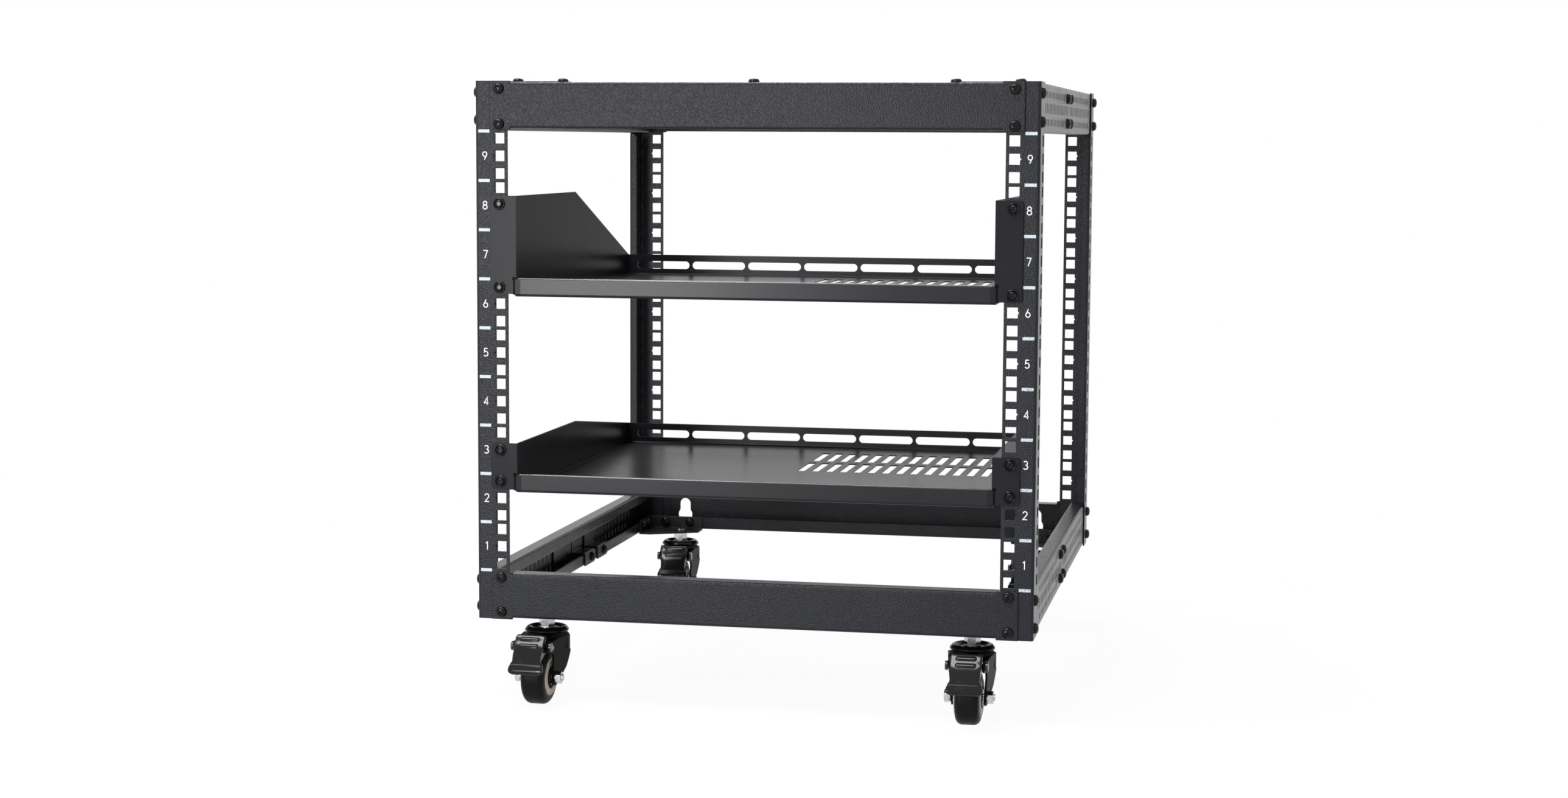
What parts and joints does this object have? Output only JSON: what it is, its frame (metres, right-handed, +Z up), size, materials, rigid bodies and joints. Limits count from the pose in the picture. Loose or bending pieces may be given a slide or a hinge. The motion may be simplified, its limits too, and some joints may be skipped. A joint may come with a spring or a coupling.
{
  "type": "open frame server rack",
  "caption": "Open-frame 19-inch equipment rack of folded black sheet steel, with square-hole posts, adjustable side rails, cantilever shelves and braked swivel casters.",
  "frame": {"origin": "on the floor, at the centre of the bounding box seen from above", "axes": "+X to the right seen from the front, +Y from front to rear, +Z up"},
  "size_m": [0.51, 0.6222, 0.5681],
  "materials": {
    "frame_black": "fine wrinkle powder coat",
    "shelf_black": "fine wrinkle powder coat",
    "caster_black": "gloss black",
    "zinc": "bright zinc plate",
    "tread": "smooth polyurethane",
    "marking_white": "screen print",
    "screw_black": "gloss black",
    "hub": "moulded"
  },
  "bodies": {
    "frame": {"caster_caps": "caster_black", "caster_stems": "zinc", "front_bottom_rail": "frame_black", "front_left_caster_bracket": "frame_black", "front_left_post": "frame_black", "front_right_caster_bracket": "frame_black", "front_right_post": "frame_black", "front_top_rail": "frame_black", "left_bottom_rail_front": "frame_black", "left_bottom_rail_rear": "frame_black", "left_top_rail_front": "frame_black", "left_top_rail_rear": "frame_black", "lower_shelf": "shelf_black", "rail_clips": "frame_black", "rear_bottom_rail": "frame_black", "rear_left_caster_bracket": "frame_black", "rear_left_post": "frame_black", "rear_right_caster_bracket": "frame_black", "rear_right_post": "frame_black", "rear_top_rail": "frame_black", "right_bottom_rail_front": "frame_black", "right_bottom_rail_rear": "frame_black", "right_top_rail_front": "frame_black", "right_top_rail_rear": "frame_black", "top_brackets": "frame_black", "upper_shelf": "shelf_black"},
    "front_left_caster": {"front_left_fork": "caster_black", "front_left_axle": "zinc"},
    "front_left_wheel": {"front_left_tyre": "tread", "front_left_hub": "hub"},
    "front_left_brake": {"front_left_pedal": "caster_black"},
    "front_right_caster": {"front_right_fork": "caster_black", "front_right_axle": "zinc"},
    "front_right_wheel": {"front_right_tyre": "tread", "front_right_hub": "hub"},
    "front_right_brake": {"front_right_pedal": "caster_black"},
    "rear_left_caster": {"rear_left_fork": "caster_black", "rear_left_axle": "zinc"},
    "rear_left_wheel": {"rear_left_tyre": "tread", "rear_left_hub": "hub"},
    "rear_left_brake": {"rear_left_pedal": "caster_black"},
    "rear_right_caster": {"rear_right_fork": "caster_black", "rear_right_axle": "zinc"},
    "rear_right_wheel": {"rear_right_tyre": "tread", "rear_right_hub": "hub"},
    "rear_right_brake": {"rear_right_pedal": "caster_black"}
  },
  "joints": [
    {"name": "front_left_swivel", "type": "hinge", "parent": "frame", "child": "front_left_caster", "pos_m": [-0.198, -0.2464, 0.0628], "axis": [0, 0, 1], "continuous": true},
    {"name": "front_left_roll", "type": "hinge", "parent": "front_left_caster", "child": "front_left_wheel", "pos_m": [-0.1988, -0.26939, 0.025], "axis": [0.9994, -0.0349, 0], "continuous": true},
    {"name": "front_left_brake_tilt", "type": "hinge", "parent": "front_left_caster", "child": "front_left_brake", "pos_m": [-0.1995, -0.28937, 0.0565], "axis": [-0.9994, 0.0349, 0], "range_deg": [0, 14]},
    {"name": "front_right_swivel", "type": "hinge", "parent": "frame", "child": "front_right_caster", "pos_m": [0.198, -0.2464, 0.0628], "axis": [0, 0, 1], "continuous": true},
    {"name": "front_right_roll", "type": "hinge", "parent": "front_right_caster", "child": "front_right_wheel", "pos_m": [0.19824, -0.2694, 0.025], "axis": [0.9999, 0.0105, 0], "continuous": true},
    {"name": "front_right_brake_tilt", "type": "hinge", "parent": "front_right_caster", "child": "front_right_brake", "pos_m": [0.19845, -0.2894, 0.0565], "axis": [-0.9999, -0.0105, 0], "range_deg": [0, 14]},
    {"name": "rear_left_swivel", "type": "hinge", "parent": "frame", "child": "rear_left_caster", "pos_m": [-0.198, 0.2816, 0.0628], "axis": [0, 0, 1], "continuous": true},
    {"name": "rear_left_roll", "type": "hinge", "parent": "rear_left_caster", "child": "rear_left_wheel", "pos_m": [-0.196, 0.25869, 0.025], "axis": [0.9962, 0.0872, 0], "continuous": true},
    {"name": "rear_left_brake_tilt", "type": "hinge", "parent": "rear_left_caster", "child": "rear_left_brake", "pos_m": [-0.19425, 0.23876, 0.0565], "axis": [-0.9962, -0.0872, 0], "range_deg": [0, 14]},
    {"name": "rear_right_swivel", "type": "hinge", "parent": "frame", "child": "rear_right_caster", "pos_m": [0.198, 0.2816, 0.0628], "axis": [0, 0, 1], "continuous": true},
    {"name": "rear_right_roll", "type": "hinge", "parent": "rear_right_caster", "child": "rear_right_wheel", "pos_m": [0.1968, 0.25863, 0.025], "axis": [0.9986, -0.0523, 0], "continuous": true},
    {"name": "rear_right_brake_tilt", "type": "hinge", "parent": "rear_right_caster", "child": "rear_right_brake", "pos_m": [0.19575, 0.23866, 0.0565], "axis": [-0.9986, 0.0523, 0], "range_deg": [0, 14]}
  ]
}
